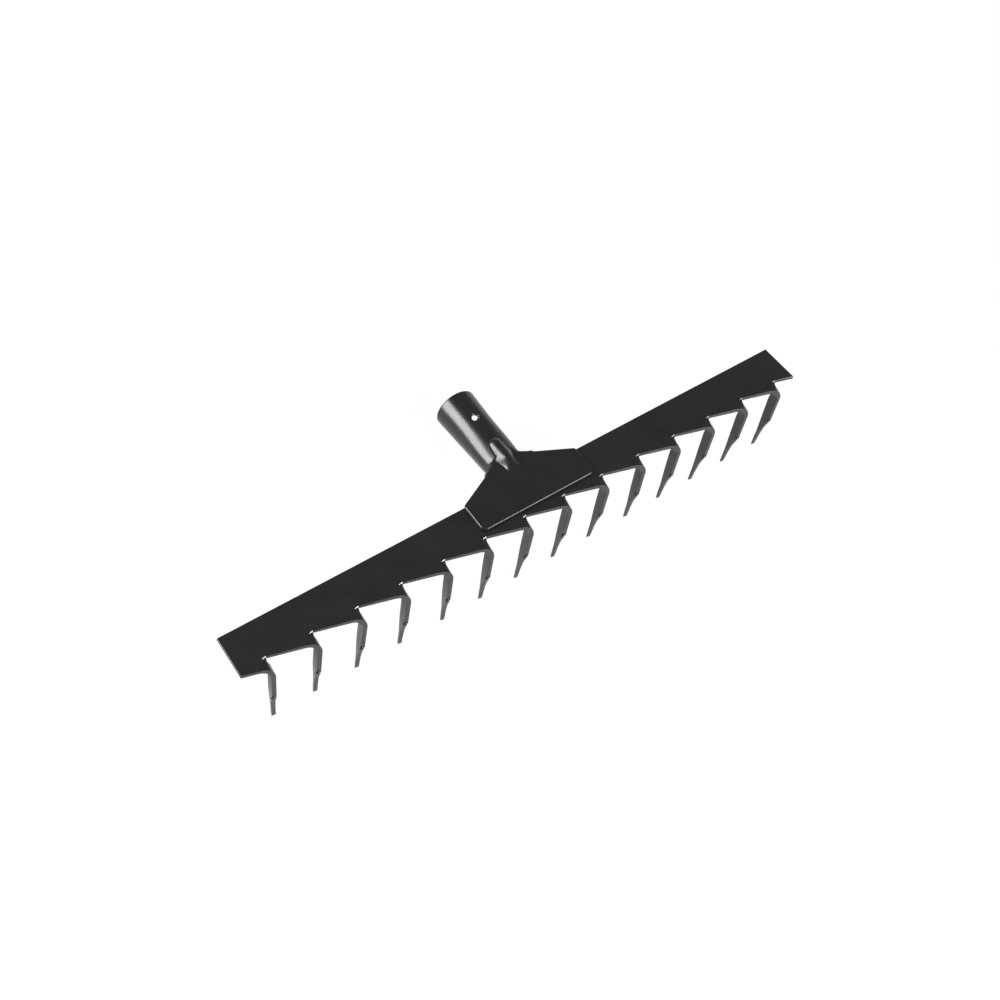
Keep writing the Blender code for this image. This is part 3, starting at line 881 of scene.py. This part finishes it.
def rippled_bead(node):
    """A weld run's mesh, whose rings are by turns fatter and thinner."""
    bm = merged_copy(node)
    places = [vert.co.x for vert in bm.verts]
    for place in steps_between(min(places), max(places), RIPPLE_CUTS)[:-1]:
        cut_across(bm, ALONG_BEAD, place)
    for vert in bm.verts:
        fatter = 1 + RIPPLE * math.sin(2 * math.pi * vert.co.x / RIPPLE_LENGTH)
        vert.co.y = SEAT_GAP + (vert.co.y - SEAT_GAP) * fatter
        vert.co.z *= fatter
    return bm


for side in ("left", "right"):
    node = f"weld_run_{side}"
    finish_piece(f"bead_{side}", rippled_bead(node), node, "weld_paint", weld_paint)

# %% [markdown]
# ## Floor and light
#
# The floor is a large pale plane under the head. Seen by the camera, or mirrored in the paint, it
# is nearly white, and it still takes the head's shadow. The light is a tilted soft box behind the
# head on the left, which draws the long stripe on the socket, a smaller one in front on the right,
# which picks out the front rims, and an even grey surround. The tilt keeps most of the first box's
# mirror image off the flat plates, which would all turn white from the front right otherwise.

# %% Floor
FLOOR_SIDE = 6.0
FLOOR_GLOW = 0.97
FLOOR_GREY = (0.9, 0.9, 0.9, 1)
FLOOR_ROUGHNESS = 0.9
WHITE = (1, 1, 1, 1)


def add_floor():
    bm = bmesh.new()
    bmesh.ops.create_grid(bm, x_segments=1, y_segments=1, size=FLOOR_SIDE / 2)
    mesh = bpy.data.meshes.new("floor")
    bm.to_mesh(mesh)
    bm.free()
    floor = bpy.data.objects.new("floor", mesh)
    bpy.context.scene.collection.objects.link(floor)
    finish = Finish("pale_floor")
    finish.set(Base_Color=FLOOR_GREY, Roughness=FLOOR_ROUGHNESS)
    glow = finish.node("Emission", sockets={"Color": WHITE, "Strength": 1.0})
    ray = finish.node("LightPath")
    seen = finish.value(ray, "Is Camera Ray") + finish.value(ray, "Is Glossy Ray")
    mix = finish.node("MixShader", sockets={"Fac": seen * FLOOR_GLOW})
    out = finish.tree.nodes["Material Output"]
    finish.tree.links.new(finish.shader.outputs[0], mix.inputs[1])
    finish.tree.links.new(glow.outputs[0], mix.inputs[2])
    finish.tree.links.new(mix.outputs[0], out.inputs[0])
    mesh.materials.append(finish.material)
    print(floor.name, "is", FLOOR_SIDE, "m wide")


add_floor()

# %% Light
SURROUND_GREY = (0.32, 0.32, 0.32, 1)


def add_soft_box(name, azimuth, elevation, tilt, distance, size, radiance):
    """An area lamp seen from the head in a direction in degrees, which shines back at it."""
    data = bpy.data.lights.new(name, "AREA")
    data.shape = "RECTANGLE"
    data.size, data.size_y = size
    data.energy = radiance * math.pi * size[0] * size[1]
    lamp = bpy.data.objects.new(name, data)
    bpy.context.scene.collection.objects.link(lamp)
    across, up = math.radians(azimuth), math.radians(elevation)
    level = math.cos(up)
    direction = Vector((level * math.cos(across), level * math.sin(across), math.sin(up)))
    lamp.location = direction * distance
    facing = direction.to_track_quat("Z", "Y").to_matrix()
    turn = facing @ Matrix.Rotation(math.radians(tilt), 3, "Z")
    lamp.rotation_euler = turn.to_euler()
    print(name, "stands at", [round(part, 2) for part in lamp.location])


add_soft_box(
    "key_box", azimuth=145.0, elevation=22.7, tilt=37.0,
    distance=2.0, size=(0.89, 1.40), radiance=17.0,
)
add_soft_box(
    "front_box", azimuth=-60.0, elevation=38.0, tilt=0.0,
    distance=1.8, size=(1.05, 0.95), radiance=16.0,
)

world = bpy.data.worlds.new("surround")
world.use_nodes = True
background = world.node_tree.nodes["Background"]
background.inputs["Color"].default_value = SURROUND_GREY
background.inputs["Strength"].default_value = 1.0
bpy.context.scene.world = world
bpy.context.scene.view_settings.view_transform = "Standard"
